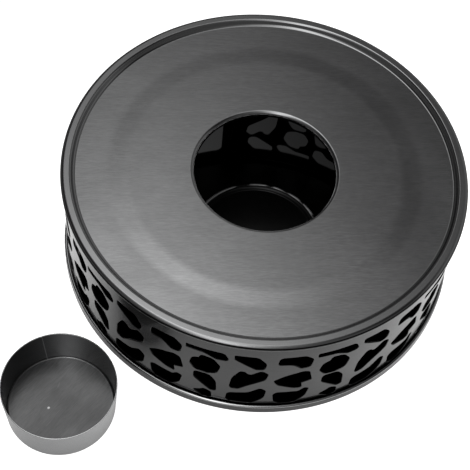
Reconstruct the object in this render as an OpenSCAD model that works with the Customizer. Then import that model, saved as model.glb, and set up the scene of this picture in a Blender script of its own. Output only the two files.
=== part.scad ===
// Teapot warmer: a perforated metal drum under a pressed cover, standing in a shallow tray,
// with the candle cup set down beside it. Millimetres, +Z up, origin on the drum axis at the table.

/* [Drum] */
// Outer radius of the perforated wall
drum_r = 74.3; // [72:0.1:77]
// Height of the whole warmer, table to the crest of the rim
height = 50; // [48:0.5:54]
// Sheet thickness of the perforated wall
wall_t = 0.5; // [0.4:0.05:0.6]

/* [Cover] */
// Sheet thickness of the cover
cover_t = 0.6; // [0.5:0.05:0.7]
// Radius of the flame hole, at the face of its turned-down lip
hole_r = 26.2; // [24:0.2:28]
// Round between the disc and the lip of the flame hole, on the upper skin
hole_bend = 1.4; // [1.1:0.1:1.8]
// Straight length of the lip below that round
hole_lip = 1; // [0.6:0.1:2]
// How far the disc's outer ring lies below the crest of the rim
ring_drop = 2; // [1.8:0.05:2.2]
// Width of that ring, between the pad and the rim
ring_w = 10.2; // [9:0.1:12]
// Height of the pad, the raised middle of the disc that the pot stands on
pad_h = 0.18; // [0.14:0.01:0.26]
// Slope of the pad's soft flank, degrees
pad_slope = 1.5; // [1.3:0.1:1.8]
// Round at the foot and the brow of that flank
pad_bend = 100; // [60:10:110]
// Width of the rim, from the foot of its inner flank to its outside
rim_w = 5.5; // [5.3:0.1:6.3]
// Slope of the rim's inner flank, degrees
rise_slope = 62; // [56:1:66]
// Round at the foot of that flank, on the upper skin
foot_bend = 1.2; // [1:0.05:1.35]
// Round where the flank turns into the crest
crest_bend = 1.6; // [1.3:0.05:1.75]
// Outer radius of the rolled edge of the rim
roll_bend = 1.2; // [1.1:0.05:1.3]
// Air between the wall and the face of the rolled edge
roll_air = 0.1; // [0.05:0.01:0.2]
// Slip between the wall and the roll where the roll holds it
nip = 0.02; // [0.01:0.01:0.03]

/* [Perforation] */
// Repeats of the pebble pattern round the drum, the doorway counted in
repeats = 10; // [9:1:11]
// Height of the lowest pebble above the table
band_foot = 5; // [4.6:0.1:6]
// Distance from the crest of the rim down to the highest pebble edge
band_drop = 8.3; // [7:0.1:10]
// Turn taken by each short side of a rounded pebble corner, degrees
corner_step = 30; // [24:1:40]

/* [Doorway] */
// Width of the doorway for the candle cup, straight across
door_w = 57; // [50:1:60]
// Height of the doorway's sill
door_sill = 8; // [7:0.5:10]
// Distance from the crest of the rim down to the doorway's head
door_drop = 7.8; // [7:0.1:10]
// Corner round of the doorway
door_corner = 2.5; // [1:0.5:5]

/* [Tray] */
// Sheet thickness of the tray
tray_t = 1; // [0.8:0.05:1.1]
// Gap between the wall and the tray's lip
lip_gap = 0.45; // [0.4:0.05:0.8]
// Height of the tray's lip above the table
lip_h = 4.85; // [4.5:0.05:5]
// Inside round between the tray's floor and its lip
lip_bend = 0.2; // [0.1:0.05:0.4]
// Radius of the ring bead that centres the candle cup
bead_r = 24.6; // [24:0.1:26]
// Height of the bead
bead_h = 0.9; // [0.85:0.05:1]
// Slope of the bead's flanks, degrees
bead_slope = 50; // [46:1:52]
// Inside bend radius of the bead
bead_bend = 0.6; // [0.5:0.05:0.65]

/* [Candle cup] */
// Outer radius of the cup's mouth
cup_r = 20.8; // [20.4:0.1:21.2]
// Height of the cup
cup_h = 16.8; // [14:0.2:18]
// How much narrower the cup is at its foot, on the radius
cup_draft = 0.9; // [0.6:0.05:1.1]
// Sheet thickness of the cup
cup_t = 0.4; // [0.3:0.05:0.5]
// Outer round between the cup's wall and floor
cup_bend = 1; // [0.8:0.1:1.6]
// Gap between the tray's rim and the mouth of the cup beside it, seen from above
cup_gap = 6.95; // [4:0.05:20]
// Direction from the drum axis to the cup, degrees from +X towards +Y
cup_bearing = 193.8; // [180:0.2:210]

/* [Hidden] */
$fa = 3;
$fs = 0.3;
// turn taken by each short stretch of a bend in the sheet, degrees
bend_step = 15;

// rolled edge of the cover
rim_r = drum_r + roll_air + cover_t;
roll_in = roll_bend - cover_t;
roll_x = rim_r - roll_bend;
wall_in_roll = drum_r - roll_x;
roll_turn = 90 + acos((wall_in_roll + nip) / roll_in);

// heights of the cover's skin
ring_z = height - ring_drop;
pad_z = ring_z + pad_h;
lip_z = pad_z - hole_bend - hole_lip;

// the wall stands on the tray's floor and its top edge is caught in the roll
wall_foot = tray_t;
wall_top = height - roll_bend + sqrt(roll_in * roll_in - wall_in_roll * wall_in_roll) - nip;

// straight stretches of the cover that the depths leave over
pad_round = 1 - cos(pad_slope);
pad_run = (pad_h - 2 * pad_bend * pad_round) / sin(pad_slope);
rise_round = 1 - cos(rise_slope);
rise_run = (ring_drop - (foot_bend + crest_bend) * rise_round) / sin(rise_slope);
rise_w = (foot_bend + crest_bend) * sin(rise_slope) + rise_run * cos(rise_slope);
flank_x = rim_r - rim_w;
pad_r = flank_x - ring_w - 2 * pad_bend * sin(pad_slope) - pad_run * cos(pad_slope);
crest_run = roll_x - flank_x - rise_w;

// tray
tray_r = drum_r + lip_gap + tray_t;
lip_out = lip_bend + tray_t;
bead_round = 1 - cos(bead_slope);
bead_out = bead_bend + tray_t;
bead_run = (bead_h - (bead_out + bead_bend) * bead_round) / sin(bead_slope);
bead_half = (bead_out + bead_bend) * sin(bead_slope) + bead_run * cos(bead_slope);

// cup
cup_away = tray_r + cup_gap + cup_r;
cup_lean = atan(cup_draft / (cup_h - cup_bend));
cup_side = (cup_h - cup_bend * (1 - sin(cup_lean))) / cos(cup_lean);
cup_foot = cup_r - cup_side * sin(cup_lean) - cup_bend * cos(cup_lean);

// pebble columns: three to a repeat
column_pitch = 360 / (3 * repeats);
band_top = height - band_drop;
door_head = height - door_drop;
door_half = asin(door_w / 2 / drum_r);
door_at = 180;
// the outlines below are drawn for a repeat this wide, and rows between these heights
drawn_repeat = 46.7;
drawn_foot = 5;
drawn_top = 41.7;
pebble_sx = 2 * PI * drum_r / repeats / drawn_repeat;
pebble_sz = (band_top - band_foot) / (drawn_top - drawn_foot);
// how far a cutter reaches past the sheet on each side
past = 1;

// Pebble outlines: corners as [across, height, corner radius], across from the column's own line.
COLUMN_1 = [
    [[-5.9, 41.7, 0.8], [2.4, 41.7, 2.5], [5.7, 37, 3.5], [5.1, 32.6, 1.9], [2, 32.6, 1.8],
     [-5.8, 38.7, 1.1]],
    [[-6.7, 16.2, 1.5], [-6.1, 24.4, 9], [-3.3, 30.5, 1.3], [-1.6, 30.2, 0.9], [0, 27.9, 1.4],
     [4.3, 31.8, 1.4], [6.8, 29.2, 1.5], [6.1, 24.8, 2.8], [-0.1, 19.8, 12], [-3.4, 16.3, 2.4]],
    [[-7.5, 5.7, 1.9], [-7.1, 12.4, 2.4], [0.6, 14.2, 5], [4.6, 18.2, 1.2], [6.9, 16, 2.2],
     [6.3, 10.2, 4.5], [2.2, 5.6, 4]]
];
COLUMN_2 = [
    [[-6.2, 36.2, 1.2], [-5.6, 41.5, 2], [3.4, 41.7, 3], [6.5, 38.4, 2.4], [5.8, 32.9, 2],
     [2.4, 32.5, 1.3], [-0.8, 35.9, 3.5]],
    [[-6.8, 23.8, 1.3], [-2.6, 27.6, 10], [4, 30.2, 3], [6, 29, 1.8], [7.3, 22.4, 0.8],
     [3.6, 20.9, 0.7], [4.1, 17, 0.9], [1, 17.4, 3], [-5.2, 20.6, 2.5]],
    [[-6.3, 14.7, 2.2], [3.3, 14.2, 1.3], [5, 16.3, 0.8], [7, 15.6, 1], [6, 9.4, 5.5],
     [2.3, 5.3, 3], [-5.2, 5.3, 3.2]]
];
COLUMN_3 = [
    [[-7.8, 41.5, 0.5], [6.2, 41.6, 2.2], [8.4, 36.6, 1.5], [3.6, 36.1, 2.5], [-0.6, 38.7, 4],
     [-7.7, 38.9, 0.6]],
    [[-2, 36.7, 1.2], [2.3, 36.1, 3.5], [5.3, 31.2, 3.5], [4.1, 25.6, 3.2], [0.3, 24.2, 3],
     [-4, 24.4, 3], [-6.2, 28.2, 2.5], [-5.3, 33, 3], [-2.8, 34.2, 0.6]],
    [[-4.3, 23.3, 1.8], [1.5, 23.4, 2.6], [4.1, 19.2, 6], [4.5, 11.7, 1.1], [2.3, 11.4, 1.2],
     [-4.4, 18.3, 2.4]],
    [[-4.6, 8.2, 1], [-1.6, 9.9, 3], [0, 11.5, 1.2], [2.7, 9.9, 1.6], [2.9, 5, 1.6], [-0.6, 5, 2]]
];
COLUMNS = [COLUMN_1, COLUMN_2, COLUMN_3];

// Direction of the line from a to b, degrees
function heading(a, b) = atan2(b[1] - a[1], b[0] - a[0]);

// Angle brought between -180 and 180 degrees
function wrapped(a) = a - 360 * round(a / 360);

// Points on the rounded corner q between its neighbours p and r
function corner_points(p, q, r) =
    let (h = heading(p, q), turn = wrapped(heading(q, r) - h))
    let (side = sign(turn), back = q[2] * abs(tan(turn / 2)), n = ceil(abs(turn) / corner_step))
    let (cx = q[0] - back * cos(h) - side * q[2] * sin(h))
    let (cy = q[1] - back * sin(h) + side * q[2] * cos(h))
    [for (k = [0:n]) let (a = h - side * 90 + turn * k / n) [cx + q[2] * cos(a), cy + q[2] * sin(a)]];

// Whole outline of a pebble from its corners
function outline(c) =
    let (m = len(c))
    [for (i = [0:m - 1]) each corner_points(c[(i + m - 1) % m], c[i], c[(i + 1) % m])];

// Sheet seen edge-on. Each step is [length, turn, radius]: a straight stretch, then a bend of its skin.
// Skin points with their headings, [x, z, heading], from a place and a heading
function skin(steps, at, h, i = 0) =
    let (run = steps[i][0], turn = steps[i][1], bend = steps[i][2], side = sign(turn))
    let (from = [at[0] + run * cos(h), at[1] + run * sin(h)])
    let (mid = [from[0] - side * bend * sin(h), from[1] + side * bend * cos(h)])
    let (n = turn == 0 ? 0 : ceil(abs(turn) / bend_step))
    let (round = [for (k = [0:n]) let (a = h + (n == 0 ? 0 : turn * k / n))
        [mid[0] + side * bend * sin(a), mid[1] - side * bend * cos(a), a]])
    let (later = i == len(steps) - 1 ? [] : skin(steps, round[n], h + turn, i + 1))
    concat(round, later);

// Outline of the sheet: along the skin, and back at depth t on the skin's right-hand side
function sheet(steps, at, h, t) =
    let (path = concat([[at[0], at[1], h]], skin(steps, at, h)), last = len(path) - 1)
    concat(
        [for (k = [0:last]) [max(0, path[k][0]), path[k][1]]],
        [for (k = [last:-1:0]) let (a = path[k][2])
            [max(0, path[k][0] + t * sin(a)), path[k][1] - t * cos(a)]]
    );

// Pressed cover: flame hole with a turned-down lip, pad, ring, raised rim and rolled edge
module cover() {
    color([0.55, 0.56, 0.57])
        rotate_extrude()
            polygon(sheet([
                [hole_lip, -90, hole_bend],
                [pad_r - hole_r - hole_bend, -pad_slope, pad_bend],
                [pad_run, pad_slope, pad_bend],
                [ring_w, rise_slope, foot_bend],
                [rise_run, -rise_slope, crest_bend],
                [crest_run, -roll_turn, roll_bend]
            ], [hole_r, lip_z], 90, cover_t));
}

// Perforated wall: a plain tube cut by the doorway and the pebble columns
module perforated_wall() {
    color([0.5, 0.51, 0.52])
        difference() {
            translate([0, 0, wall_foot])
                cylinder(h = wall_top - wall_foot, r = drum_r);
            translate([0, 0, wall_foot - past])
                cylinder(h = wall_top - wall_foot + 2 * past, r = drum_r - wall_t);
            doorway();
            for (k = [0:3 * repeats - 1])
                if (abs(wrapped(k * column_pitch - door_at)) > door_half + column_pitch / 2)
                    pebble_column(COLUMNS[k % 3], k * column_pitch);
        }
}

// Cutter for one column of pebbles, at an angle counted from -Y towards +X
module pebble_column(column, at) {
    rotate([0, 0, at])
        translate([0, past - drum_r + wall_t, 0])
            rotate([90, 0, 0])
                linear_extrude(wall_t + 2 * past)
                    translate([0, band_foot - drawn_foot * pebble_sz])
                        scale([pebble_sx, pebble_sz])
                            for (corners = column)
                                polygon(outline(corners));
}

// Cutter for the doorway, at +Y
module doorway() {
    x = door_w / 2;
    r = door_corner;
    translate([0, drum_r + past, 0])
        rotate([90, 0, 0])
            linear_extrude(drum_r / 4)
                polygon(outline([
                    [-x, door_sill, r],
                    [-x, door_head, r],
                    [x, door_head, r],
                    [x, door_sill, r]
                ]));
}

// Shallow tray: upturned lip, flat floor and the ring bead that centres the cup
module base_tray() {
    color([0.45, 0.46, 0.47])
        rotate_extrude()
            polygon(sheet([
                [lip_h - lip_out, -90, lip_out],
                [tray_r - lip_out - bead_r - bead_half, -bead_slope, bead_out],
                [bead_run, 2 * bead_slope, bead_bend],
                [bead_run, -bead_slope, bead_out],
                [bead_r - bead_half, 0, 0]
            ], [tray_r, lip_h], -90, tray_t));
}

// Drawn candle cup, standing on the table beside the drum
module candle_cup() {
    color([0.6, 0.61, 0.62])
        rotate([0, 0, cup_bearing])
            translate([cup_away, 0, 0])
                rotate_extrude()
                    polygon(sheet([
                        [cup_side, cup_lean - 90, cup_bend],
                        [cup_foot, 0, 0]
                    ], [cup_r, cup_h], -90 - cup_lean, cup_t));
}

cover();
perforated_wall();
base_tray();
candle_cup();
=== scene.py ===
"""Teapot warmer in brushed steel: pierced drum, pressed cover, shallow tray and a loose candle cup."""

import logging
import math
from collections.abc import Callable
from dataclasses import dataclass
from enum import Enum

import bmesh
import bpy
import numpy as np
from mathutils import Matrix, Vector
from mathutils.geometry import delaunay_2d_cdt


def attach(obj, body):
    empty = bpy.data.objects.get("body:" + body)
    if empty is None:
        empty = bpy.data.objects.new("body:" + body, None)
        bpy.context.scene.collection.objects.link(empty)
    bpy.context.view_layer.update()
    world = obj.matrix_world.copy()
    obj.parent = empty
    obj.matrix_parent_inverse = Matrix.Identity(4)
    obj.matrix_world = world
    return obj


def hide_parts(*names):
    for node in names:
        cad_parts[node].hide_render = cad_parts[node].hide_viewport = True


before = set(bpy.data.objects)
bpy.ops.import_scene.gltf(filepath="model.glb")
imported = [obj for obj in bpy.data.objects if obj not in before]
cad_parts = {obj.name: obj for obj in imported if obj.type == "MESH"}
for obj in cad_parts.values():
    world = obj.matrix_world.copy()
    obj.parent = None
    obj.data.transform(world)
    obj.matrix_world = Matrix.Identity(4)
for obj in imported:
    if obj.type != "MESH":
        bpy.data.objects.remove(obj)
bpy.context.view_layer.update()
MM = 0.001
LOG = logging.getLogger("teapot_warmer")

ON_AXIS = 1e-6  # mm, nearer than this is on the axis
SAME_POINT = 1e-4  # mm, nearer than this is one point
ROUND_STEPS = 4  # sides of each small rounded edge
WELDS_PER_MM = 2000  # steps of a mm within which the wall's vertices are one
DISC_GRAIN = -30.0  # degrees from +X
CUP_GRAIN = 18.0  # degrees from +X
GRAIN_RADIUS = 74.0  # mm, where a grain that runs round has its true length
GRAIN_RISE = 0.7  # share of the height that moves a straight grain sideways
STEEL_TINT = (0.995, 1.0, 1.008)  # red, green and blue of the bare steel
PIT_DARKENING = 0.12  # share of the brightness that a pit takes away

Point = tuple[float, float]
Corner = tuple[float, float, float]
LoopPoint = tuple[float, float, float, float]
FaceTest = Callable[[float, float, float, float], bool]


@dataclass(frozen=True)
class Step:
    """One stretch of bent sheet: a straight run, then a bend of its skin, in mm and degrees."""

    run: float
    turn: float = 0.0
    radius: float = 0.0


@dataclass(frozen=True)
class SectionPoint:
    """A point of a revolved section, in mm, with the surface normal there."""

    r: float
    z: float
    nr: float
    nz: float


@dataclass(frozen=True)
class SheetSection:
    """A strip of sheet seen edge-on, with the metal on the right of its skin."""

    steps: tuple[Step, ...]
    start: Point
    heading: float
    thickness: float
    edge: float = 0.12
    back_edge: float = 0.12
    bend_step: float = 9.0

    def skin(self) -> list[tuple[float, float, float]]:
        """Walks along the skin.

        Returns:
            Points as (r, z, heading in radians).
        """
        x, z = self.start
        h = math.radians(self.heading)
        out = [(x, z, h)]
        for step in self.steps:
            x, z = x + step.run * math.cos(h), z + step.run * math.sin(h)
            if not step.turn:
                out.append((x, z, h))
                continue
            side = math.copysign(1.0, step.turn)
            cx, cz = x - side * step.radius * math.sin(h), z + side * step.radius * math.cos(h)
            parts = max(2, math.ceil(abs(step.turn) / self.bend_step))
            for k in range(parts + 1):
                a = h + math.radians(step.turn) * k / parts
                out.append((cx + side * step.radius * math.sin(a), cz - side * step.radius * math.cos(a), a))
            h += math.radians(step.turn)
            x, z = out[-1][0], out[-1][1]
        return out

    def rounded_end(self, x: float, z: float, h: float, near: float, far: float) -> list[SectionPoint]:
        """Rounds the cut edge of the sheet from one face to the other.

        Args:
            x: Radius of the last point of the first face.
            z: Height of that point.
            h: Heading there, in radians.
            near: Round at the first face, in mm.
            far: Round at the other face, in mm.

        Returns:
            Section points of the edge.
        """
        out = []
        for e, deep, first in ((near, near, 90.0), (far, self.thickness - far, 0.0)):
            cx = x + deep * math.sin(h) - e * math.cos(h)
            cz = z - deep * math.cos(h) - e * math.sin(h)
            for k in range(ROUND_STEPS + 1):
                a = h + math.radians(first - 90.0 * k / ROUND_STEPS)
                out.append(SectionPoint(cx + e * math.cos(a), cz + e * math.sin(a), math.cos(a), math.sin(a)))
        return out

    def outline(self) -> list[SectionPoint]:
        """Runs round the whole section, over the skin and back, ends rounded where they are off the axis.

        Returns:
            Section points; the first and last are on the axis if the sheet reaches it.
        """
        path = self.skin()
        skin = [SectionPoint(x, z, -math.sin(h), math.cos(h)) for x, z, h in path]
        t = self.thickness
        back = []
        for x, z, h in path:
            s, c = math.sin(h), math.cos(h)
            back.append(SectionPoint(x + t * s, z - t * c, s, -c))
        x0, z0, h0 = path[0]
        x1, z1, h1 = path[-1]
        front_edge = self.rounded_end(x0, z0, h0 + math.pi, self.back_edge, self.edge)
        dr, dz = t * math.sin(h0), -t * math.cos(h0)
        front_edge = [SectionPoint(p.r + dr, p.z + dz, p.nr, p.nz) for p in front_edge]
        middle = skin[1:-1]
        if x1 < ON_AXIS:
            start = [SectionPoint(0.0, back[-1].z, 0.0, back[-1].nz)]
            end = [SectionPoint(0.0, skin[-1].z, 0.0, skin[-1].nz)]
            return start + back[-2:0:-1] + front_edge + middle + end
        return front_edge + middle + self.rounded_end(x1, z1, h1, self.edge, self.back_edge) + back[-2:0:-1]


def tidy_section(points: list[SectionPoint]) -> list[SectionPoint]:
    """Drops section points that repeat the one before.

    Args:
        points: Points of a section.

    Returns:
        The points that are left.
    """
    out: list[SectionPoint] = []
    for p in points:
        if not out or math.hypot(p.r - out[-1].r, p.z - out[-1].z) > SAME_POINT:
            out.append(p)
    return out


def object_from(
    name: str, verts: np.ndarray, faces: list[tuple[int, ...]], normals: np.ndarray
) -> bpy.types.Object:
    """Makes a mesh object with its own smooth normals.

    Args:
        name: Name of the piece.
        verts: Vertices in metres.
        faces: Vertex indices of each face.
        normals: A normal for each vertex.

    Returns:
        The linked object.
    """
    mesh = bpy.data.meshes.new(name)
    mesh.from_pydata([tuple(v) for v in verts], [], faces)
    mesh.validate()
    flip = []
    for poly in mesh.polygons:
        wanted = normals[list(poly.vertices)].sum(axis=0)
        if Vector(wanted).dot(poly.normal) < 0:
            flip.append(poly.index)
    if flip:
        bm = bmesh.new()
        bm.from_mesh(mesh)
        bm.faces.ensure_lookup_table()
        bmesh.ops.reverse_faces(bm, faces=[bm.faces[i] for i in flip])
        bm.to_mesh(mesh)
        bm.free()
    mesh.polygons.foreach_set("use_smooth", [True] * len(mesh.polygons))
    mesh.normals_split_custom_set_from_vertices([tuple(n) for n in normals])
    obj = bpy.data.objects.new(name, mesh)
    bpy.context.scene.collection.objects.link(obj)
    return obj


def revolve(
    name: str, section: list[SectionPoint], closed: bool, sides: int, centre: Point
) -> bpy.types.Object:
    """Turns a section about an upright axis.

    Args:
        name: Name of the piece.
        section: Points of the section, in mm.
        closed: Whether the section joins up with itself, clear of the axis.
        sides: Number of steps round.
        centre: Where the axis stands, in mm.

    Returns:
        The new object.
    """
    verts: list[tuple[float, float, float]] = []
    normals: list[tuple[float, float, float]] = []
    rings: list[list[int]] = []
    for p in section:
        count = 1 if p.r < ON_AXIS else sides
        ring = []
        for k in range(count):
            a = 2 * math.pi * k / sides
            ring.append(len(verts))
            x, y = centre[0] + p.r * math.cos(a), centre[1] + p.r * math.sin(a)
            verts.append((x * MM, y * MM, p.z * MM))
            normals.append((p.nr * math.cos(a), p.nr * math.sin(a), p.nz))
        rings.append(ring)
    faces: list[tuple[int, ...]] = []
    pairs = list(zip(rings, rings[1:])) + ([(rings[-1], rings[0])] if closed else [])
    for a, b in pairs:
        for k in range(sides):
            j = (k + 1) % sides
            if len(a) == 1:
                faces.append((a[0], b[k], b[j]))
            elif len(b) == 1:
                faces.append((a[k], b[0], a[j]))
            else:
                faces.append((a[k], b[k], b[j], a[j]))
    return object_from(name, np.array(verts), faces, np.array(normals))


class GrainRun(Enum):
    """Which way the brushed lines of a finish run."""

    STRAIGHT = "straight"
    AROUND = "around"


def socket(
    group: bpy.types.NodeTree, name: str, kind: str, value: float | None = None, out: bool = False
) -> None:
    """Adds one socket to a node group.

    Args:
        group: The group.
        name: Name of the socket.
        kind: Float, Color or Vector.
        value: Default value, for a number.
        out: Whether it is an output.
    """
    side = "OUTPUT" if out else "INPUT"
    item = group.interface.new_socket(name=name, in_out=side, socket_type=f"NodeSocket{kind}")
    if value is not None:
        item.default_value = value


class Weave:
    """Small helper that adds nodes to one node tree and links them."""

    def __init__(self, tree: bpy.types.NodeTree) -> None:
        """Keeps the tree."""
        self.tree = tree

    def node(self, kind: str, **values: object) -> bpy.types.Node:
        """Adds a node.

        Args:
            kind: Node type, without its ShaderNode prefix.
            **values: Attributes to set.

        Returns:
            The node.
        """
        full = kind if kind.startswith("Node") else f"ShaderNode{kind}"
        made = self.tree.nodes.new(full)
        for key, value in values.items():
            setattr(made, key, value)
        return made

    def feed(self, target: bpy.types.NodeSocket, source: object) -> None:
        """Links a socket, or sets a plain value.

        Args:
            target: Input socket.
            source: Output socket, number or colour.
        """
        if isinstance(source, bpy.types.NodeSocket):
            self.tree.links.new(source, target)
        else:
            target.default_value = source

    def math(
        self, operation: str, a: object, b: object = 0.0, c: object = 0.0, clamp: bool = False
    ) -> object:
        """Adds a Math node.

        Args:
            operation: Its operation.
            a: First socket or number.
            b: Second socket or number.
            c: Third socket or number.
            clamp: Whether the result stays between 0 and 1.

        Returns:
            Its output.
        """
        made = self.node("Math", operation=operation, use_clamp=clamp)
        self.feed(made.inputs[0], a)
        self.feed(made.inputs[1], b)
        self.feed(made.inputs[2], c)
        return made.outputs[0]

    def noise(self, vector: object, scale: float, detail: float = 2.0, roughness: float = 0.5) -> object:
        """Adds a noise texture.

        Args:
            vector: Where it is read.
            scale: Its scale.
            detail: Its detail.
            roughness: Its roughness.

        Returns:
            Its value.
        """
        made = self.node("TexNoise")
        self.feed(made.inputs["Vector"], vector)
        made.inputs["Scale"].default_value = scale
        made.inputs["Detail"].default_value = detail
        made.inputs["Roughness"].default_value = roughness
        return made.outputs["Fac"]

    def ramp(
        self, value: object, low: float, high: float, to_low: float = 0.0, to_high: float = 1.0
    ) -> object:
        """Adds a clamped linear map.

        Args:
            value: What is mapped.
            low: Start of the range.
            high: End of the range.
            to_low: What the start becomes.
            to_high: What the end becomes.

        Returns:
            Its output.
        """
        made = self.node("MapRange", clamp=True)
        for i, v in enumerate((value, low, high, to_low, to_high)):
            self.feed(made.inputs[i], v)
        return made.outputs[0]


def brushed_lines() -> bpy.types.NodeTree:
    """Node group of fine brushed lines, long along U and narrow along V, from coordinates in mm.

    Returns:
        The group, with outputs Lines and Broad.
    """
    tree = bpy.data.node_groups.new("brushed_lines", "ShaderNodeTree")
    socket(tree, "Along", "Float", 0.0)
    socket(tree, "Across", "Float", 0.0)
    socket(tree, "Line Length", "Float", 12.0)
    socket(tree, "Line Width", "Float", 0.35)
    socket(tree, "Lines", "Float", out=True)
    socket(tree, "Broad", "Float", out=True)
    w = Weave(tree)
    inp = w.node("NodeGroupInput")
    out = w.node("NodeGroupOutput")

    def streaks(longer: float, wider: float, detail: float, shift: float) -> object:
        """Adds one layer of stretched noise.

        Args:
            longer: Its length, in line lengths.
            wider: Its width, in line widths.
            detail: Its detail.
            shift: Keeps one layer unlike the other.

        Returns:
            Its value.
        """
        place = w.node("CombineXYZ")
        length = w.math("MULTIPLY", inp.outputs["Line Length"], longer)
        width = w.math("MULTIPLY", inp.outputs["Line Width"], wider)
        w.feed(place.inputs[0], w.math("DIVIDE", inp.outputs["Along"], length))
        w.feed(place.inputs[1], w.math("DIVIDE", inp.outputs["Across"], width))
        place.inputs[2].default_value = shift
        return w.noise(place.outputs[0], 1.0, detail, 0.6)

    fine = streaks(longer=1.0, wider=1.0, detail=3.0, shift=3.7)
    broad = streaks(longer=5.0, wider=6.0, detail=2.0, shift=11.3)
    w.feed(out.inputs["Lines"], w.ramp(fine, 0.28, 0.72))
    w.feed(out.inputs["Broad"], w.ramp(broad, 0.3, 0.7))
    return tree


def handling_marks() -> bpy.types.NodeTree:
    """Node group of faint smudges and tiny pits, from a position in metres.

    Returns:
        The group, with outputs Smudge and Pits.
    """
    tree = bpy.data.node_groups.new("handling_marks", "ShaderNodeTree")
    socket(tree, "Position", "Vector")
    socket(tree, "Smudge Size", "Float", 0.03)
    socket(tree, "Smudge", "Float", out=True)
    socket(tree, "Pits", "Float", out=True)
    w = Weave(tree)
    inp = w.node("NodeGroupInput")
    out = w.node("NodeGroupOutput")
    scaled = w.node("VectorMath", operation="DIVIDE")
    w.feed(scaled.inputs[0], inp.outputs["Position"])
    size = w.node("CombineXYZ")
    for i in range(3):
        w.feed(size.inputs[i], inp.outputs["Smudge Size"])
    w.feed(scaled.inputs[1], size.outputs[0])
    w.feed(out.inputs["Smudge"], w.ramp(w.noise(scaled.outputs[0], 1.0, 4.0, 0.55), 0.35, 0.7))
    pits = w.noise(inp.outputs["Position"], 1400.0, 2.0, 0.6)
    w.feed(out.inputs["Pits"], w.ramp(pits, 0.66, 0.78))
    return tree


@dataclass(frozen=True)
class Mark:
    """A straight scratch or a speck, in mm from its piece's axis, lighter or darker than the metal."""

    start: Point
    end: Point
    width: float
    change: float
    core: float = 0.4
    shortest: float = 1e-3

    def lay(self, w: Weave, x: object, y: object, tone: object) -> object:
        """Lays the mark over a tone.

        Args:
            w: The material's helper.
            x: Place in mm.
            y: Place in mm.
            tone: The tone so far.

        Returns:
            The new tone.
        """
        dx, dy = self.end[0] - self.start[0], self.end[1] - self.start[1]
        length = max(math.hypot(dx, dy), self.shortest)
        ux, uy = dx / length, dy / length
        px, py = w.math("SUBTRACT", x, self.start[0]), w.math("SUBTRACT", y, self.start[1])
        along = w.math("ADD", w.math("MULTIPLY", px, ux), w.math("MULTIPLY", py, uy))
        beyond = w.math("SUBTRACT", along, w.ramp(along, 0.0, length, 0.0, length))
        off = w.math("SUBTRACT", w.math("MULTIPLY", px, uy), w.math("MULTIPLY", py, ux))
        away = w.math("SQRT", w.math("ADD", w.math("MULTIPLY", beyond, beyond), w.math("MULTIPLY", off, off)))
        share = w.ramp(away, self.width * self.core, self.width, 1.0 + self.change, 1.0)
        return w.math("MULTIPLY", tone, share)


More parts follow.
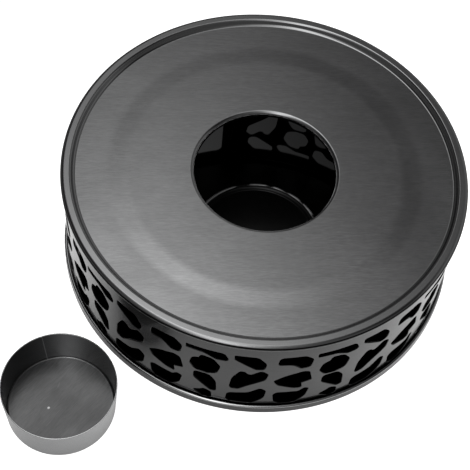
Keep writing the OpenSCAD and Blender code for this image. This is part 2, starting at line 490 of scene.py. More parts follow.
@dataclass(frozen=True)
class SteelFinish:
    """A bare steel surface with its own grain, gloss and marks."""

    name: str
    colour: float
    roughness: float
    anisotropy: float
    grain: GrainRun
    grain_turn: float = 0.0
    line_length: float = 14.0
    line_width: float = 0.35
    line_colour: float = 0.1
    line_roughness: float = 0.06
    line_bump: float = 0.02
    broad_share: float = 0.35
    smudge: float = 0.05
    edge_tint: float = 1.0
    centre: Point = (0.0, 0.0)
    marks: tuple[Mark, ...] = ()

    def place(self, w: Weave) -> tuple[object, object, object]:
        """Works out where on the grain a point lies.

        Args:
            w: The material's helper.

        Returns:
            Sockets for the place along and across the grain in mm, and the position.
        """
        where = w.node("TexCoord").outputs["Object"]
        split = w.node("SeparateXYZ")
        w.feed(split.inputs[0], where)
        x = w.math("SUBTRACT", w.math("MULTIPLY", split.outputs[0], 1000.0), self.centre[0])
        y = w.math("SUBTRACT", w.math("MULTIPLY", split.outputs[1], 1000.0), self.centre[1])
        z = w.math("MULTIPLY", split.outputs[2], 1000.0)
        if self.grain is GrainRun.STRAIGHT:
            c, s = math.cos(math.radians(self.grain_turn)), math.sin(math.radians(self.grain_turn))
            along = w.math("ADD", w.math("MULTIPLY", x, c), w.math("MULTIPLY", y, s))
            across = w.math("SUBTRACT", w.math("MULTIPLY", y, c), w.math("MULTIPLY", x, s))
            return along, w.math("ADD", across, w.math("MULTIPLY", z, GRAIN_RISE)), where
        radius = w.math("SQRT", w.math("ADD", w.math("MULTIPLY", x, x), w.math("MULTIPLY", y, y)))
        along = w.math("MULTIPLY", w.math("ARCTAN2", y, x), GRAIN_RADIUS)
        return along, w.math("ADD", z, radius), where

    def build(self, groups: dict[str, bpy.types.NodeTree]) -> bpy.types.Material:
        """Makes the material.

        Args:
            groups: The shared node groups by name.

        Returns:
            The material.
        """
        mat = bpy.data.materials.new(self.name)
        mat.use_nodes = True
        tree = mat.node_tree
        tree.nodes.clear()
        w = Weave(tree)
        along, across, where = self.place(w)
        lines = w.node("Group", node_tree=groups["brushed_lines"])
        w.feed(lines.inputs["Along"], along)
        w.feed(lines.inputs["Across"], across)
        lines.inputs["Line Length"].default_value = self.line_length
        lines.inputs["Line Width"].default_value = self.line_width
        marks = w.node("Group", node_tree=groups["handling_marks"])
        w.feed(marks.inputs["Position"], where)

        shader = w.node("BsdfPrincipled")
        shader.inputs["Metallic"].default_value = 1.0
        shader.inputs["Anisotropic"].default_value = self.anisotropy
        shader.inputs["Specular Tint"].default_value = (self.edge_tint, self.edge_tint, self.edge_tint, 1.0)
        tone = w.math("MULTIPLY_ADD", lines.outputs["Lines"], self.line_colour, 1.0 - self.line_colour / 2)
        broad = self.line_colour * self.broad_share
        streaks = w.math("MULTIPLY_ADD", lines.outputs["Broad"], broad, 1.0 - broad / 2)
        tone = w.math("MULTIPLY", tone, streaks)
        tone = w.math("MULTIPLY", tone, w.math("MULTIPLY_ADD", marks.outputs["Smudge"], -self.smudge, 1.0))
        tone = w.math("MULTIPLY", tone, w.math("MULTIPLY_ADD", marks.outputs["Pits"], -PIT_DARKENING, 1.0))
        if self.marks:
            split = w.node("SeparateXYZ")
            w.feed(split.inputs[0], where)
            x = w.math("SUBTRACT", w.math("MULTIPLY", split.outputs[0], 1000.0), self.centre[0])
            y = w.math("SUBTRACT", w.math("MULTIPLY", split.outputs[1], 1000.0), self.centre[1])
            for mark in self.marks:
                tone = mark.lay(w, x, y, tone)
        colour = w.node("CombineColor")
        for i, share in enumerate(STEEL_TINT):
            w.feed(colour.inputs[i], w.math("MULTIPLY", tone, self.colour * share))
        w.feed(shader.inputs["Base Color"], colour.outputs[0])
        mean = self.roughness - self.line_roughness / 2
        rough = w.math("MULTIPLY_ADD", lines.outputs["Lines"], self.line_roughness, mean)
        rough = w.math("MULTIPLY_ADD", marks.outputs["Smudge"], self.smudge, rough)
        w.feed(shader.inputs["Roughness"], rough)
        bump = w.node("Bump")
        bump.inputs["Strength"].default_value = 1.0
        bump.inputs["Distance"].default_value = self.line_bump * MM
        w.feed(bump.inputs["Height"], w.math("ADD", lines.outputs["Lines"], lines.outputs["Broad"]))
        w.feed(shader.inputs["Normal"], bump.outputs[0])
        if self.anisotropy:
            tangent = w.node("Tangent", direction_type="UV_MAP", uv_map="grain")
            w.feed(shader.inputs["Tangent"], tangent.outputs[0])
        out = w.node("OutputMaterial")
        w.feed(out.inputs[0], shader.outputs[0])
        return mat


def lay_grain_uv(obj: bpy.types.Object, turn: float | None, centre: Point = (0.0, 0.0)) -> None:
    """Gives a piece a UV map whose U runs along its grain.

    Args:
        obj: The piece.
        turn: Direction of a straight grain in degrees, or None for a grain that runs round the axis.
        centre: Axis of a grain that runs round, in mm.
    """
    mesh = obj.data
    layer = mesh.uv_layers.new(name="grain")
    co = np.empty(len(mesh.vertices) * 3)
    mesh.vertices.foreach_get("co", co)
    co = co.reshape(-1, 3)
    loops = np.empty(len(mesh.loops), dtype=np.int64)
    mesh.loops.foreach_get("vertex_index", loops)
    if turn is not None:
        c, s = math.cos(math.radians(turn)), math.sin(math.radians(turn))
        u = co[:, 0] * c + co[:, 1] * s
        v = co[:, 1] * c - co[:, 0] * s + co[:, 2] * GRAIN_RISE
        uv = np.stack([u, v], axis=1)[loops]
    else:
        x, y = co[:, 0] - centre[0] * MM, co[:, 1] - centre[1] * MM
        around = np.arctan2(y, x)[loops]
        starts = np.empty(len(mesh.polygons), dtype=np.int64)
        mesh.polygons.foreach_get("loop_start", starts)
        totals = np.empty(len(mesh.polygons), dtype=np.int64)
        mesh.polygons.foreach_get("loop_total", totals)
        first = np.repeat(around[starts], totals)
        ahead, behind = around - first > math.pi, around - first < -math.pi
        around = around + np.where(ahead, -2 * math.pi, 0) + np.where(behind, 2 * math.pi, 0)
        uv = np.stack([around * GRAIN_RADIUS * MM, (co[:, 2] + np.hypot(x, y))[loops]], axis=1)
    layer.data.foreach_set("uv", uv.astype(np.float32).ravel())


def dress_where(
    obj: bpy.types.Object, material: bpy.types.Material, test: FaceTest, centre: Point = (0.0, 0.0)
) -> None:
    """Gives some faces of a piece their own finish.

    Args:
        obj: The piece.
        material: Their finish.
        test: Picks a face by its radius and height in mm, and by how far its normal points outwards and up.
        centre: Axis of the piece, in mm.
    """
    obj.data.materials.append(material)
    index = len(obj.data.materials) - 1
    for poly in obj.data.polygons:
        x, y = poly.center.x / MM - centre[0], poly.center.y / MM - centre[1]
        radius = math.hypot(x, y)
        outward = (poly.normal.x * x + poly.normal.y * y) / radius if radius > ON_AXIS else 0.0
        if test(radius, poly.center.z / MM, outward, poly.normal.z):
            poly.material_index = index


@dataclass
class Piece:
    """What every piece of the warmer shares."""

    name: str
    node: str
    material_slot: str

    def settle(self, obj: bpy.types.Object, material: bpy.types.Material) -> None:
        """Dresses a finished piece and ties it to the frame.

        Args:
            obj: The piece.
            material: Its finish.
        """
        obj.data.materials.append(material)
        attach(obj, "root")
        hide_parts(self.node)
        LOG.info("%s: %d faces", obj.name, len(obj.data.polygons))


@dataclass
class Cover(Piece):
    """Pressed cover: flame hole, low pad, ring, raised rim and rolled edge."""

    rim_r: float = 75.0
    height: float = 50.0
    sheet: float = 0.6
    hole_r: float = 26.2
    hole_bend: float = 1.4
    hole_lip: float = 1.0
    ring_drop: float = 2.0
    ring_w: float = 10.2
    pad_h: float = 0.18
    pad_slope: float = 1.5
    pad_bend: float = 100.0
    rim_w: float = 5.5
    rise_slope: float = 62.0
    foot_bend: float = 1.2
    crest_bend: float = 1.0
    roll_bend: float = 1.5
    nip: float = 0.02
    wall_r: float = 74.3
    flank_clear: float = 0.2
    roll_shade_up: float = 0.6
    under_up: float = -0.3
    sides: int = 360

    def section(self) -> SheetSection:
        """Lays out the cover's section with the same sizes as its solid.

        Returns:
            The section.
        """
        sin, cos, rad = math.sin, math.cos, math.radians
        slope, rise = rad(self.pad_slope), rad(self.rise_slope)
        pad_run = (self.pad_h - 2 * self.pad_bend * (1 - cos(slope))) / sin(slope)
        bends = self.foot_bend + self.crest_bend
        rise_run = (self.ring_drop - bends * (1 - cos(rise))) / sin(rise)
        rise_w = bends * sin(rise) + rise_run * cos(rise)
        flank = self.rim_r - self.rim_w
        pad_r = flank - self.ring_w - 2 * self.pad_bend * sin(slope) - pad_run * cos(slope)
        roll_x = self.rim_r - self.roll_bend
        closed_in = (self.wall_r - roll_x + self.nip) / (self.roll_bend - self.sheet)
        roll_turn = 90 + math.degrees(math.acos(closed_in))
        steps = (
            Step(self.hole_lip, -90, self.hole_bend),
            Step(pad_r - self.hole_r - self.hole_bend, -self.pad_slope, self.pad_bend),
            Step(pad_run, self.pad_slope, self.pad_bend),
            Step(self.ring_w, self.rise_slope, self.foot_bend),
            Step(rise_run, -self.rise_slope, self.crest_bend),
            Step(roll_x - flank - rise_w, -roll_turn, self.roll_bend),
        )
        lip_z = self.height - self.ring_drop + self.pad_h - self.hole_bend - self.hole_lip
        return SheetSection(steps, (self.hole_r, lip_z), 90.0, self.sheet)

    def build(
        self, material: bpy.types.Material, rim: bpy.types.Material, painted_roll_shade: bpy.types.Material,
        under: bpy.types.Material, grain_turn: float,
    ) -> bpy.types.Object:
        """Makes and dresses the cover.

        Args:
            material: Finish of the disc.
            rim: Finish of the raised rim.
            painted_roll_shade: The wall's darker finish laid on the rolled edge where it turns down to the
                wall, a painted shade.
            under: Near-black finish of the face that looks at the flame, a painted shade.
            grain_turn: Direction of the disc's grain, in degrees.

        Returns:
            The piece.
        """
        obj = revolve(self.name, tidy_section(self.section().outline()), True, self.sides, (0.0, 0.0))
        lay_grain_uv(obj, grain_turn)
        self.settle(obj, material)
        rim_from = self.rim_r - self.rim_w + self.flank_clear
        roll_from = self.rim_r - self.roll_bend
        dress_where(obj, rim, lambda r, z, out, up: r > rim_from)
        # The roll's lower outer face takes the wall's darker finish: painted shade where it faces down
        # towards the wall and floor.
        dress_where(obj, painted_roll_shade, lambda r, z, out, up: r > roll_from and up < self.roll_shade_up and out > 0)
        dress_where(obj, under, lambda r, z, out, up: up < self.under_up and r < roll_from)
        return obj


PEBBLES: tuple[tuple[tuple[Corner, ...], ...], ...] = (
    (
        ((-5.9, 41.7, 0.8), (2.4, 41.7, 2.5), (5.7, 37, 3.5), (5.1, 32.6, 1.9), (2, 32.6, 1.8),
         (-5.8, 38.7, 1.1)),
        ((-6.7, 16.2, 1.5), (-6.1, 24.4, 9), (-3.3, 30.5, 1.3), (-1.6, 30.2, 0.9), (0, 27.9, 1.4),
         (4.3, 31.8, 1.4), (6.8, 29.2, 1.5), (6.1, 24.8, 2.8), (-0.1, 19.8, 12), (-3.4, 16.3, 2.4)),
        ((-7.5, 5.7, 1.9), (-7.1, 12.4, 2.4), (0.6, 14.2, 5), (4.6, 18.2, 1.2), (6.9, 16, 2.2),
         (6.3, 10.2, 4.5), (2.2, 5.6, 4)),
    ),
    (
        ((-6.2, 36.2, 1.2), (-5.6, 41.5, 2), (3.4, 41.7, 3), (6.5, 38.4, 2.4), (5.8, 32.9, 2),
         (2.4, 32.5, 1.3), (-0.8, 35.9, 3.5)),
        ((-6.8, 23.8, 1.3), (-2.6, 27.6, 10), (4, 30.2, 3), (6, 29, 1.8), (7.3, 22.4, 0.8), (3.6, 20.9, 0.7),
         (4.1, 17, 0.9), (1, 17.4, 3), (-5.2, 20.6, 2.5)),
        ((-6.3, 14.7, 2.2), (3.3, 14.2, 1.3), (5, 16.3, 0.8), (7, 15.6, 1), (6, 9.4, 5.5), (2.3, 5.3, 3),
         (-5.2, 5.3, 3.2)),
    ),
    (
        ((-7.8, 41.5, 0.5), (6.2, 41.6, 2.2), (8.4, 36.6, 1.5), (3.6, 36.1, 2.5), (-0.6, 38.7, 4),
         (-7.7, 38.9, 0.6)),
        ((-2, 36.7, 1.2), (2.3, 36.1, 3.5), (5.3, 31.2, 3.5), (4.1, 25.6, 3.2), (0.3, 24.2, 3), (-4, 24.4, 3),
         (-6.2, 28.2, 2.5), (-5.3, 33, 3), (-2.8, 34.2, 0.6)),
        ((-4.3, 23.3, 1.8), (1.5, 23.4, 2.6), (4.1, 19.2, 6), (4.5, 11.7, 1.1), (2.3, 11.4, 1.2),
         (-4.4, 18.3, 2.4)),
        ((-4.6, 8.2, 1), (-1.6, 9.9, 3), (0, 11.5, 1.2), (2.7, 9.9, 1.6), (2.9, 5, 1.6), (-0.6, 5, 2)),
    ),
)


def wrapped(angle: float) -> float:
    """Angle in degrees brought between -180 and 180."""
    return angle - 360 * round(angle / 360)


def rounded_loop(corners: tuple[Corner, ...], step: float, reach: float) -> list[LoopPoint]:
    """Rounds the corners of an outline and splits its long sides.

    Args:
        corners: Corners as (x, z, radius).
        step: Turn of each short side of a corner, in degrees.
        reach: Longest straight side left, in mm.

    Returns:
        Points as (x, z, nx, nz), with the normal that points out of the hole into the metal.
    """
    count = len(corners)
    turn_sum = 0.0
    loop: list[tuple[float, float, float]] = []
    for i in range(count):
        p, q, r = corners[i - 1], corners[i], corners[(i + 1) % count]
        h = math.degrees(math.atan2(q[1] - p[1], q[0] - p[0]))
        turn = wrapped(math.degrees(math.atan2(r[1] - q[1], r[0] - q[0])) - h)
        turn_sum += turn
        side = math.copysign(1.0, turn)
        back = q[2] * abs(math.tan(math.radians(turn / 2)))
        hr = math.radians(h)
        cx = q[0] - back * math.cos(hr) - side * q[2] * math.sin(hr)
        cz = q[1] - back * math.sin(hr) + side * q[2] * math.cos(hr)
        parts = max(1, math.ceil(abs(turn) / step))
        for k in range(parts + 1):
            turned = math.radians(turn) * k / parts
            a = hr - side * math.pi / 2 + turned
            loop.append((cx + q[2] * math.cos(a), cz + q[2] * math.sin(a), hr + turned))
    out: list[LoopPoint] = []
    way = math.copysign(1.0, turn_sum)
    for i, (x, z, h) in enumerate(loop):
        out.append((x, z, way * math.sin(h), -way * math.cos(h)))
        nx, nz = loop[(i + 1) % len(loop)][:2]
        gap = math.hypot(nx - x, nz - z)
        extra = int(gap // reach)
        for k in range(1, extra + 1):
            s = k / (extra + 1)
            out.append((x + (nx - x) * s, z + (nz - z) * s, way * math.sin(h), -way * math.cos(h)))
    return out


@dataclass
class PiercedWall(Piece):
    """Drum wall with its pebble holes and the doorway, punched edges rounded outside."""

    radius: float = 74.3
    sheet: float = 0.5
    foot: float = 1.0
    top: float = 48.85
    repeats: int = 10
    drawn_repeat: float = 46.7
    door_w: float = 57.0
    door_sill: float = 8.0
    door_head: float = 42.2
    door_corner: float = 2.5
    punch_roll: float = 0.2
    burr: float = 0.05
    corner_step: float = 13.0
    reach: float = 1.6
    grid_step: float = 3.6
    grid_foot: float = 3.0
    grid_top: float = 1.0
    grid_clear: float = 0.55
    sides: int = 360

    def hole_loops(self) -> list[list[LoopPoint]]:
        """Lays out every hole over the unrolled wall, the doorway last.

        Returns:
            Loops of (arc, z, nx, nz) in mm; arc 0 is at -Y and grows towards +X.
        """
        pitch = 360 / (3 * self.repeats)
        arc = math.radians(1) * self.radius
        widen = 2 * math.pi * self.radius / self.repeats / self.drawn_repeat
        door_half = math.degrees(math.asin(self.door_w / 2 / self.radius))
        loops = []
        for k in range(3 * self.repeats):
            if abs(wrapped(k * pitch - 180)) <= door_half + pitch / 2:
                continue
            at = wrapped(k * pitch) * arc
            for corners in PEBBLES[k % 3]:
                drawn = tuple((x * widen, z, r) for x, z, r in corners)
                loop = rounded_loop(drawn, self.corner_step, self.reach)
                loops.append([(x + at, z, nx, nz) for x, z, nx, nz in loop])
        half, r = door_half * arc, self.door_corner
        sill, head = self.door_sill, self.door_head
        corners = ((-half, sill, r), (-half, head, r), (half, head, r), (half, sill, r))
        door = rounded_loop(corners, self.corner_step, self.reach)
        loops.append([(x + 180 * arc, z, nx, nz) for x, z, nx, nz in door])
        return loops

    def edge_rings(self) -> list[tuple[float, float, float]]:
        """Section of a punched edge, from the outer face to the inner.

        Returns:
            Tuples of (distance from the hole's outline into the metal, depth below the outer face,
            angle of the normal from straight out towards the hole in degrees).
        """
        rings = []
        for k in range(ROUND_STEPS + 1):
            turn = 90 * k / ROUND_STEPS
            s, c = math.sin(math.radians(turn)), math.cos(math.radians(turn))
            rings.append((self.punch_roll * (1 - s), self.punch_roll * (1 - c), turn))
        for turn in (0.0, 45.0, 90.0):
            s, c = math.sin(math.radians(turn)), math.cos(math.radians(turn))
            rings.append((self.burr * (1 - c), self.sheet - self.burr * (1 - s), 90 + turn))
        return rings

    def build(self, material: bpy.types.Material, inner: bpy.types.Material) -> bpy.types.Object:
        """Makes and dresses the wall.

        Args:
            material: Its finish.
            inner: Near-black finish of the face that looks at the flame, a painted shade.

        Returns:
            The piece.
        """
        loops = self.hole_loops()
        verts: list[tuple[float, float, float]] = []
        normals: list[tuple[float, float, float]] = []
        known: dict[tuple[int, int, int], int] = {}
        faces: list[tuple[int, ...]] = []

        def vertex(arc: float, z: float, deep: float, n_arc: float, n_z: float, n_out: float) -> int:
            """Finds or adds the vertex at a place on the wall.

            Args:
                arc: Place along the wall in mm.
                z: Height in mm.
                deep: Depth below the outer face in mm.
                n_arc: The normal's part along the wall.
                n_z: Its part upwards.
                n_out: Its part outwards.

            Returns:
                The vertex's index.
            """
            a = arc / self.radius
            out = (math.sin(a), -math.cos(a))
            side = (math.cos(a), math.sin(a))
            r = self.radius - deep
            co = (r * out[0], r * out[1], z)
            key = tuple(round(c * WELDS_PER_MM) for c in co)
            if key not in known:
                known[key] = len(verts)
                verts.append(tuple(c * MM for c in co))
                normals.append((n_arc * side[0] + n_out * out[0], n_arc * side[1] + n_out * out[1], n_z))
            return known[key]

        rings = self.edge_rings()
        for loop in loops:
            index = []
            for into, deep, angle in rings:
                s, c = math.sin(math.radians(angle)), math.cos(math.radians(angle))
                index.append([
                    vertex(x + nx * into, z + nz * into, deep, -nx * s, -nz * s, c) for x, z, nx, nz in loop
                ])
            for a, b in zip(index, index[1:]):
                for k in range(len(loop)):
                    j = (k + 1) % len(loop)
                    faces.append((a[k], a[j], b[j], b[k]))
        for outside in (True, False):
            into = rings[0][0] if outside else rings[-1][0]
            deep = 0.0 if outside else self.sheet
            sign = 1.0 if outside else -1.0
            edges = [[(x + nx * into, z + nz * into) for x, z, nx, nz in loop] for loop in loops]
            points, triangles = self.plate(edges)
            index = [vertex(x, z, deep, 0.0, 0.0, sign) for x, z in points]
            faces += [(index[a], index[b], index[c]) for a, b, c in triangles]
        for z, n_z in ((self.foot, -1.0), (self.top, 1.0)):
            for k in range(self.sides):
                a, b = (-math.pi + 2 * math.pi * (k + i) / self.sides for i in (0, 1))
                square = ((a, 0.0), (b, 0.0), (b, self.sheet), (a, self.sheet))
                faces.append(tuple(vertex(t * self.radius, z, d, 0.0, n_z, 0.0) for t, d in square))
        faces = [f for f in faces if len(set(f)) == len(f)]
        obj = object_from(self.name, np.array(verts), faces, np.array(normals))
        lay_grain_uv(obj, None)
        self.settle(obj, material)
        dress_where(obj, inner, lambda r, z, out, up: out < -0.5)
        return obj

    def plate(self, loops: list[list[Point]]) -> tuple[list[Point], list[tuple[int, int, int]]]:
        """Fills the unrolled wall round its holes with triangles.

        Args:
            loops: The edge of each hole; the last one is the doorway, which the seam crosses.

        Returns:
            The points and the triangles.
        """
        half = math.pi * self.radius
        xs = [-half + 2 * half * k / self.sides for k in range(self.sides + 1)]
        rim = [(x, self.foot) for x in xs] + [(x, self.top) for x in reversed(xs)]
        points: list[Point] = list(rim)
        edges = [(k, (k + 1) % len(rim)) for k in range(len(rim))]
        door = loops[-1]
        for loop in loops[:-1] + [door, [(x - 2 * half, z) for x, z in door]]:
            base = len(points)
            points += loop
            edges += [(base + k, base + (k + 1) % len(loop)) for k in range(len(loop))]
        rows = np.arange(self.foot + self.grid_foot, self.top - self.grid_top, self.grid_step)
        grid = [(x, z) for x in xs[1:-1] for z in rows]
        shapes = [np.array(loop) for loop in loops] + [np.array(door) - np.array([2 * half, 0.0])]
        keep = clear_of(np.array(grid), shapes, self.grid_clear)
        points += [g for g, k in zip(grid, keep) if k]
        result = delaunay_2d_cdt([Vector(p) for p in points], edges, [], 0, 1e-7)
        flat = [(float(v.x), float(v.y)) for v in result[0]]
        tris = [tuple(f) for f in result[2]]
        mids = np.array([[sum(flat[i][0] for i in t) / 3, sum(flat[i][1] for i in t) / 3] for t in tris])
        keep = clear_of(mids, shapes, 0.0)
        inside = (np.abs(mids[:, 0]) <= half) & (mids[:, 1] > self.foot) & (mids[:, 1] < self.top)
        chosen = [t for t, k, i in zip(tris, keep, inside) if k and i]
        return self.cut_at_seam(flat, chosen, half)

    @staticmethod
    def cut_at_seam(
        flat: list[Point], tris: list[tuple[int, ...]], half: float
    ) -> tuple[list[Point], list[tuple[int, int, int]]]:
        """Keeps the points on the seam exactly on it."""
        snapped = [(math.copysign(half, x) if abs(abs(x) - half) < 1e-3 else x, z) for x, z in flat]
        return snapped, [(t[0], t[1], t[2]) for t in tris]


def clear_of(points: np.ndarray, loops: list[np.ndarray], away: float) -> np.ndarray:
    """Tells which points lie outside all loops, and at least a distance from them.

    Args:
        points: Points to test.
        loops: Closed outlines.
        away: Least distance, in mm.

    Returns:
        A truth value for each point.
    """
    ok = np.ones(len(points), dtype=bool)
    for loop in loops:
        low, high = loop.min(axis=0) - away, loop.max(axis=0) + away
        near = np.where(ok & (points >= low).all(axis=1) & (points <= high).all(axis=1))[0]
        if not len(near):
            continue
        p = points[near]
        a, b = loop, np.roll(loop, -1, axis=0)
        x, z = p[:, :1], p[:, 1:]
        cross = (a[:, 1] > z) != (b[:, 1] > z)
        with np.errstate(divide="ignore", invalid="ignore"):
            at = a[:, 0] + (z - a[:, 1]) * (b[:, 0] - a[:, 0]) / (b[:, 1] - a[:, 1])
        inside = (cross & (x < at)).sum(axis=1) % 2 == 1
        bad = inside
        if away > 0:
            d = b - a
            s = np.clip(((p[:, None] - a) * d).sum(axis=2) / np.maximum((d * d).sum(axis=1), 1e-12), 0, 1)
            gap = np.linalg.norm(p[:, None] - (a + s[..., None] * d), axis=2).min(axis=1)
            bad = bad | (gap < away)
        ok[near[bad]] = False
    return ok


@dataclass
class Tray(Piece):
    """Shallow tray: upturned lip, flat floor and the ring bead that centres the cup."""

    wall_r: float = 74.3
    sheet: float = 1.0
    lip_gap: float = 0.45
    lip_h: float = 4.85
    lip_bend: float = 0.2
    bead_r: float = 24.6
    bead_h: float = 0.9
    bead_slope: float = 50.0
    bead_bend: float = 0.6
    bead_reach: float = 3.0
    bead_proud: float = 0.05
    lip_round: float = 0.85
    lip_back_round: float = 0.1
    highlight_depth: float = 1.0
    highlight_up: float = 0.25
    sides: int = 360

    def section(self) -> SheetSection:
        """Lays out the tray's section.

        Returns:
            The section.
        """
        a = math.radians(self.bead_slope)
        outer = self.bead_bend + self.sheet
        run = (self.bead_h - (outer + self.bead_bend) * (1 - math.cos(a))) / math.sin(a)
        half = (outer + self.bead_bend) * math.sin(a) + run * math.cos(a)
        rim = self.wall_r + self.lip_gap + self.sheet
        lip_out = self.lip_bend + self.sheet
        steps = (
            Step(self.lip_h - lip_out, -90, lip_out),
            Step(rim - lip_out - self.bead_r - half, -self.bead_slope, outer),
            Step(run, 2 * self.bead_slope, self.bead_bend),
            Step(run, -self.bead_slope, outer),
            Step(self.bead_r - half),
        )
        return SheetSection(steps, (rim, self.lip_h), -90.0, self.sheet, self.lip_round, self.lip_back_round)

    def build(
        self, material: bpy.types.Material, lip: bpy.types.Material, edge: bpy.types.Material,
        bead: bpy.types.Material, middle: bpy.types.Material,
    ) -> bpy.types.Object:
        """Makes and dresses the tray.

        Args:
            material: Finish of the floor.
            lip: Finish of the upturned lip.
            edge: Light finish of the lip's top edge, a painted highlight.
            bead: Light finish of the bead's crest and outer flank, a painted highlight.
            middle: Near-black finish of the floor under the candle, with the bead's inner flank, a painted
                shade.

        Returns:
            The piece.
        """
        obj = revolve(self.name, tidy_section(self.section().outline()), False, self.sides, (0.0, 0.0))
        lay_grain_uv(obj, None)
        self.settle(obj, material)
        dress_where(obj, lip, lambda r, z, out, up: r > self.wall_r)
        edge_from, bead_from = self.lip_h - self.highlight_depth, self.sheet + self.bead_proud
        bead_to, edge_up = self.bead_r + self.bead_reach, self.highlight_up
        # The lip's upward-facing top edge is much lighter than the lip: a painted highlight.
        dress_where(obj, edge, lambda r, z, out, up: r > self.wall_r and z > edge_from and up > edge_up)
        # The bead is far lighter than the floor round it: a painted highlight.
        dress_where(obj, bead, lambda r, z, out, up: self.bead_r <= r < bead_to and z > bead_from)
        dress_where(obj, middle, lambda r, z, out, up: r < self.bead_r and z > self.sheet / 2)
        return obj


@dataclass
class CandleCup(Piece):
    """Drawn candle cup that stands beside the drum."""

    mouth_r: float = 20.8
    height: float = 16.8
    draft: float = 0.9
    sheet: float = 0.4
    bend: float = 1.0
    away: float = 103.5
    bearing: float = 193.8
    foot_clear: float = 0.3
    sides: int = 192

    @property
    def centre(self) -> Point:
        """Where the cup stands, in mm."""
        a = math.radians(self.bearing)
        return self.away * math.cos(a), self.away * math.sin(a)

    def section(self) -> SheetSection:
        """Lays out the cup's section.

        Returns:
            The section.
        """
        lean = math.atan(self.draft / (self.height - self.bend))
        side = (self.height - self.bend * (1 - math.sin(lean))) / math.cos(lean)
        foot = self.mouth_r - side * math.sin(lean) - self.bend * math.cos(lean)
        steps = (Step(side, math.degrees(lean) - 90, self.bend), Step(foot))
        return SheetSection(steps, (self.mouth_r, self.height), -90.0 - math.degrees(lean), self.sheet)

    def build(self, material: bpy.types.Material, side: bpy.types.Material) -> bpy.types.Object:
        """Makes and dresses the cup.

        Args:
            material: Finish of the floor.
            side: Finish of the drawn wall.

        Returns:
            The piece.
        """
        obj = revolve(self.name, tidy_section(self.section().outline()), False, self.sides, self.centre)
        lay_grain_uv(obj, None, self.centre)
        self.settle(obj, material)
        foot = self.mouth_r - self.draft - self.sheet - self.foot_clear
        dress_where(obj, side, lambda r, z, out, up: r > foot, self.centre)
        return obj


@dataclass(frozen=True)
class Camera:
    """The photograph's camera, as fitted to the round edges of the object; mm and degrees."""

    focal_px: float = 1278.14
    image_px: float = 470.0
    elevation: float = 57.47
    yaw: float = -1.77
    roll: float = 6.29
    back: float = 274.27
    up: float = 431.17
    turn: float = -39.2
    sensor: float = 36.0
    clip: tuple[float, float] = (0.01, 50.0)

    def build(self) -> bpy.types.Object:
        """Makes the camera.

        Returns:
            The camera object.
        """
        el, yaw, roll = (math.radians(v) for v in (self.elevation, self.yaw, self.roll))
        ahead = Vector((math.sin(yaw) * math.cos(el), math.cos(yaw) * math.cos(el), -math.sin(el)))
        right = Vector((math.cos(yaw), -math.sin(yaw), 0.0))
        above = right.cross(ahead)
        across = right * math.cos(roll) + above * math.sin(roll)
        over = above * math.cos(roll) - right * math.sin(roll)
        frame_turn = Matrix.Rotation(math.radians(self.turn), 4, "Z")
        pose = Matrix((across, over, -ahead)).transposed().to_4x4()
        pose.translation = Vector((0.0, -self.back, self.up)) * MM
        data = bpy.data.cameras.new("camera")
        data.sensor_width = self.sensor
        data.lens = self.sensor * self.focal_px / self.image_px
        data.clip_start, data.clip_end = self.clip
        obj = bpy.data.objects.new("camera", data)
        obj.matrix_world = frame_turn @ pose
        bpy.context.scene.collection.objects.link(obj)
        bpy.context.scene.camera = obj
        return obj


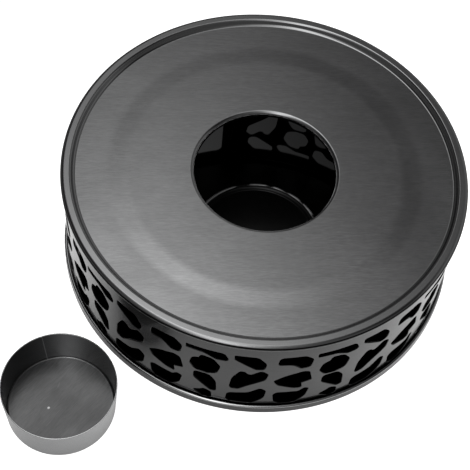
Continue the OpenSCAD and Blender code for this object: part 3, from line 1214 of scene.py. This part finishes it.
@dataclass(frozen=True)
class Studio:
    """Plain pale floor and a soft surround; lengths in metres, directions as parts of a unit vector.

    Both are white to the camera. Metal sees a floor that is pale near the warmer and dark further off, a
    long soft box overhead, a fill on the right, and a weak glow low down and behind the camera.
    """

    turn: float = -39.2
    floor_half: float = 8.0
    floor_sink: float = 0.00005
    floor_colour: float = 0.85
    floor_seen: float = 0.95
    floor_mirrored: float = 0.8
    floor_far: float = 0.06
    contact_reach: float = 0.06
    contact_depth: float = 2.0
    bright_reach: float = 0.085
    dark_reach: float = 0.175
    even_level: float = 1.0
    sky_top: float = 2.8
    sky_low: float = 0.02
    sky_offset: float = 4.07
    sky_fall: float = 7.58
    box_side: float = -0.105
    box_fall: float = 10.0
    box_round: float = 0.08
    box_front: tuple[float, float] = (-0.98, -0.72)
    horizon: tuple[float, float] = (0.1, 0.5)
    fill_level: float = 0.25
    fill_from: tuple[float, float] = (0.75, 1.0)
    fill_horizon: tuple[float, float] = (-0.05, 0.15)
    glow_level: float = 0.12
    glow_height: tuple[float, float] = (0.25, 0.45)
    glow_behind: tuple[float, float] = (-0.45, -0.1)

    def floor(self) -> bpy.types.Object:
        """Makes the floor.

        Returns:
            The floor object.
        """
        mesh = bpy.data.meshes.new("floor")
        h = self.floor_half
        mesh.from_pydata([(-h, -h, 0), (h, -h, 0), (h, h, 0), (-h, h, 0)], [], [(0, 1, 2, 3)])
        obj = bpy.data.objects.new("floor", mesh)
        obj.location.z = -self.floor_sink
        bpy.context.scene.collection.objects.link(obj)
        mat = bpy.data.materials.new("white_floor")
        mat.use_nodes = True
        mat.node_tree.nodes.clear()
        w = Weave(mat.node_tree)
        where = w.node("TexCoord").outputs["Object"]
        reach = w.node("VectorMath", operation="LENGTH")
        w.feed(reach.inputs[0], where)
        # The floor's colour, and the glow that metal sees, fall off away from the warmer: a painted pool of
        # light.
        near = w.ramp(reach.outputs["Value"], self.bright_reach, self.dark_reach, 1.0, self.floor_far)
        paint = w.node("BsdfDiffuse")
        tint = w.node("CombineColor")
        for i in range(3):
            w.feed(tint.inputs[i], w.math("MULTIPLY", near, self.floor_colour))
        w.feed(paint.inputs["Color"], tint.outputs[0])
        glow = w.node("Emission")
        rays = w.node("LightPath")
        seen = w.math("MAXIMUM", rays.outputs["Is Camera Ray"], rays.outputs["Is Transmission Ray"])
        # Ambient occlusion darkens that glow near the pieces: a painted contact shadow.
        contact = w.node("AmbientOcclusion", samples=4)
        contact.inputs["Distance"].default_value = self.contact_reach
        open_sky = w.math("MULTIPLY", near, w.math("POWER", contact.outputs["AO"], self.contact_depth))
        mirrored = w.math("MULTIPLY", rays.outputs["Is Glossy Ray"], open_sky)
        mirrored = w.math("MULTIPLY", mirrored, self.floor_mirrored)
        w.feed(glow.inputs["Strength"], w.math("MULTIPLY_ADD", seen, self.floor_seen, mirrored))
        both = w.node("AddShader")
        w.feed(both.inputs[0], paint.outputs[0])
        w.feed(both.inputs[1], glow.outputs[0])
        out = w.node("OutputMaterial")
        w.feed(out.inputs[0], both.outputs[0])
        mesh.materials.append(mat)
        return obj

    def surround(self) -> None:
        """Sets the world: white to the camera, even to dull paint, and a soft box in a dark room to metal."""
        world = bpy.data.worlds.new("surround")
        bpy.context.scene.world = world
        world.use_nodes = True
        world.node_tree.nodes.clear()
        w = Weave(world.node_tree)
        way = w.node("TexCoord").outputs["Generated"]
        split = w.node("SeparateXYZ")
        w.feed(split.inputs[0], way)
        c, s = math.cos(math.radians(self.turn)), math.sin(math.radians(self.turn))
        x, y = split.outputs[0], split.outputs[1]
        right = w.math("ADD", w.math("MULTIPLY", x, c), w.math("MULTIPLY", y, s))
        ahead = w.math("SUBTRACT", w.math("MULTIPLY", y, c), w.math("MULTIPLY", x, s))
        fall = w.math("EXPONENT", w.math("MULTIPLY_ADD", ahead, -self.sky_fall, self.sky_offset))
        aside = w.math("SUBTRACT", right, self.box_side)
        aside = w.math("SQRT", w.math("MULTIPLY_ADD", aside, aside, self.box_round**2))
        across = w.math("MULTIPLY_ADD", aside, -self.box_fall, self.box_round * self.box_fall)
        across = w.math("MULTIPLY", w.math("EXPONENT", across), w.ramp(ahead, *self.box_front))
        soft_box = w.math("MULTIPLY", w.math("MINIMUM", fall, self.sky_top), across)
        lifted = w.node("MapRange", clamp=True, interpolation_type="SMOOTHSTEP")
        for i, v in enumerate((split.outputs[2], *self.horizon, 0.0, 1.0)):
            w.feed(lifted.inputs[i], v)
        level = w.math("MULTIPLY_ADD", soft_box, lifted.outputs[0], self.sky_low)
        side = w.ramp(w.math("ADD", right, ahead), *self.fill_from, 0.0, self.fill_level)
        level = w.math("ADD", level, w.math("MULTIPLY", side, w.ramp(split.outputs[2], *self.fill_horizon)))
        low = w.ramp(split.outputs[2], *self.glow_height, self.glow_level, 0.0)
        behind = w.ramp(ahead, *self.glow_behind, self.glow_level, 0.0)
        level = w.math("ADD", level, w.math("MAXIMUM", low, behind))
        rays = w.node("LightPath")
        even = w.node("Mix", data_type="FLOAT")
        for i, v in enumerate((rays.outputs["Is Diffuse Ray"], None, level, self.even_level)):
            if v is not None:
                w.feed(even.inputs[i], v)
        dim = w.node("Background")
        w.feed(dim.inputs["Strength"], even.outputs[0])
        white = w.node("Background")
        white.inputs["Strength"].default_value = 1.0
        white.inputs["Color"].default_value = (1, 1, 1, 1)
        dim.inputs["Color"].default_value = (1, 1, 1, 1)
        mix = w.node("MixShader")
        w.feed(mix.inputs[0], rays.outputs["Is Camera Ray"])
        w.feed(mix.inputs[1], dim.outputs[0])
        w.feed(mix.inputs[2], white.outputs[0])
        out = w.node("OutputWorld")
        w.feed(out.inputs[0], mix.outputs[0])


def warmer_finishes(cup_centre: Point) -> dict[str, SteelFinish]:
    """Lays out the finish of every face of the warmer.

    Args:
        cup_centre: Where the candle cup stands, in mm.

    Returns:
        The finishes by name.
    """
    straight, around = GrainRun.STRAIGHT, GrainRun.AROUND
    burr = Mark((18.0, -19.6), (15.0, -22.0), 0.3, 0.8)
    seam = Mark((4.5, 18.6), (3.6, 20.4), 0.16, 1.6)
    scratches_and_glint = (
        # A bright speck, a painted glint of a tiny raised pip, then two light scratches.
        Mark((-4.6, 1.17), (-4.5, 1.2), 0.55, 3.5),
        Mark((3.6, 8.0), (2.2, 6.9), 0.2, 0.35),
        Mark((-0.6, -1.2), (-8.5, -4.8), 0.16, 0.25),
    )
    finishes = (
        # Near-black finish for the faces inside the drum: painted shade of the closed interior.
        SteelFinish("inside_painted_shade", 0.02, 0.3, 0.0, around, line_width=0.5, line_bump=0.004),
        SteelFinish(
            "drawn_strip", 0.03, 0.12, 0.0, around, line_width=0.5, line_colour=0.06, line_roughness=0.03,
            line_bump=0.004,
        ),
        SteelFinish(
            "brushed_disc", 0.26, 0.13, 0.3, straight, grain_turn=DISC_GRAIN, line_length=3.0,
            line_width=0.38, line_colour=0.22, line_roughness=0.03, line_bump=0.002, smudge=0.08,
            marks=(burr,),
        ),
        SteelFinish(
            "smooth_rim", 0.26, 0.16, 0.0, around, line_colour=0.03, line_roughness=0.02, line_bump=0.002
        ),
        SteelFinish(
            "mirror_floor", 0.047, 0.03, 0.0, around, line_colour=0.03, line_roughness=0.01, line_bump=0.0,
            smudge=0.01,
        ),
        SteelFinish(
            "tray_lip", 0.036, 0.15, 0.0, around, line_colour=0.05, line_roughness=0.02, line_bump=0.002
        ),
        # Light finish of the tray lip's top edge: a painted highlight.
        SteelFinish("lip_painted_highlight", 0.45, 0.14, 0.0, around, line_colour=0.1, line_bump=0.002),
        # Light finish of the ring bead: a painted highlight.
        SteelFinish("bead_painted_highlight", 0.7, 0.08, 0.0, around, line_colour=0.03, line_bump=0.0),
        SteelFinish(
            "satin_cup", 0.125, 0.3, 0.0, straight, grain_turn=CUP_GRAIN, line_length=3.0, line_width=0.35,
            line_colour=0.36, line_bump=0.006, smudge=0.12, centre=cup_centre, marks=scratches_and_glint,
        ),
        SteelFinish(
            "drawn_cup", 0.36, 0.16, 0.0, around, line_colour=0.04, line_roughness=0.02, line_bump=0.003,
            centre=cup_centre, marks=(seam,),
        ),
    )
    return {finish.name: finish for finish in finishes}


def main() -> None:
    """Builds the camera, the studio and every piece in order."""
    logging.basicConfig(level=logging.INFO, format="%(message)s")
    bpy.context.scene.view_settings.view_transform = "Standard"
    Camera().build()
    studio = Studio()
    studio.floor()
    studio.surround()
    groups = {"brushed_lines": brushed_lines(), "handling_marks": handling_marks()}
    cup = CandleCup("candle_cup_shell", "candle_cup", "cup_sheet")
    steel = {name: finish.build(groups) for name, finish in warmer_finishes(cup.centre).items()}
    inside, strip = steel["inside_painted_shade"], steel["drawn_strip"]
    # The wall's finish also goes on the cover's rolled edge as painted shade.
    Cover("cover_shell", "cover", "cover_sheet").build(
        steel["brushed_disc"], steel["smooth_rim"], strip, inside, DISC_GRAIN
    )
    PiercedWall("pierced_wall", "perforated_wall", "wall_sheet").build(strip, inside)
    Tray("tray_shell", "base_tray", "tray_sheet").build(
        steel["mirror_floor"], steel["tray_lip"], steel["lip_painted_highlight"], steel["bead_painted_highlight"], inside
    )
    cup.build(steel["satin_cup"], steel["drawn_cup"])


if __name__ == "__main__":
    main()
